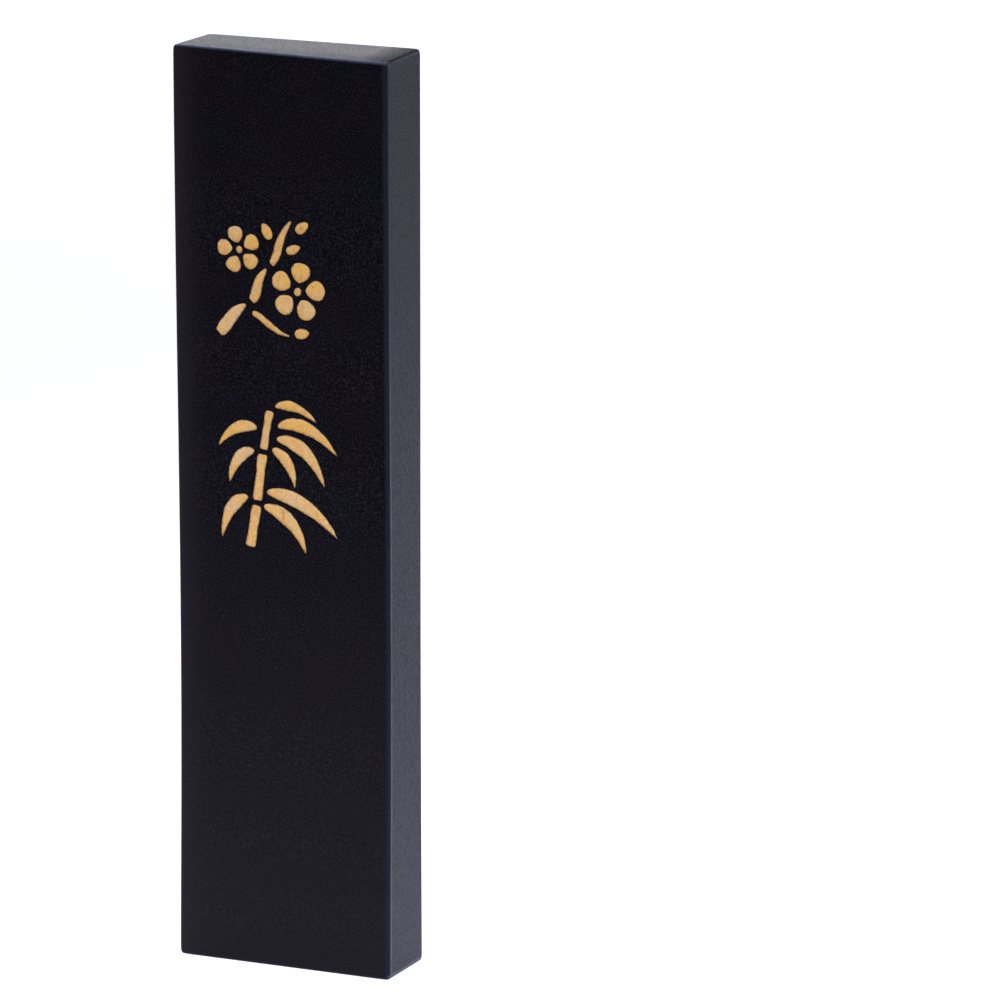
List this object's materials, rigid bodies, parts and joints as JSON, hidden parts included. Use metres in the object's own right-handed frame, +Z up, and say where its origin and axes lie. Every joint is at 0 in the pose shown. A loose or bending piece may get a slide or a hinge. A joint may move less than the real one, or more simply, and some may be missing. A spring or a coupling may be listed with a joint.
{
  "type": "ink stick",
  "caption": "Flat rectangular ink stick with narrow chamfered edges and gilded plum and bamboo brush strokes moulded into its front face, ground on an inkstone for calligraphy.",
  "frame": {"origin": "centre of the bottom end, which is the grinding end and stands on the table", "axes": "+Z up along the stick's length, -Y out of the ornamented front face, +X to the right of a viewer who faces the front"},
  "size_m": [0.022, 0.0076, 0.088],
  "materials": {
    "ink": "polished matte black, faintly grained, pressed soot and glue",
    "gilding": "matte gold pigment bound in glue"
  },
  "bodies": {
    "root": {"ink_body": "ink", "gilt_bough_lower": "gilding", "gilt_bough_middle": "gilding", "gilt_bough_upper": "gilding", "gilt_bud_foot": "gilding", "gilt_bud_left": "gilding", "gilt_bud_right": "gilding", "gilt_bud_upper": "gilding", "gilt_cane_lower": "gilding", "gilt_cane_middle": "gilding", "gilt_cane_upper": "gilding", "gilt_large_heart": "gilding", "gilt_large_petal_lower_left": "gilding", "gilt_large_petal_lower_right": "gilding", "gilt_large_petal_top": "gilding", "gilt_large_petal_upper_left": "gilding", "gilt_large_petal_upper_right": "gilding", "gilt_leaf_crown": "gilding", "gilt_leaf_left_lower": "gilding", "gilt_leaf_left_middle": "gilding", "gilt_leaf_left_upper": "gilding", "gilt_leaf_right_foot": "gilding", "gilt_leaf_right_inner": "gilding", "gilt_leaf_right_lower": "gilding", "gilt_leaf_right_middle": "gilding", "gilt_leaf_right_upper": "gilding", "gilt_small_heart": "gilding", "gilt_small_petal_lower_left": "gilding", "gilt_small_petal_lower_right": "gilding", "gilt_small_petal_top": "gilding", "gilt_small_petal_upper_left": "gilding", "gilt_small_petal_upper_right": "gilding", "gilt_twig": "gilding"}
  },
  "joints": []
}
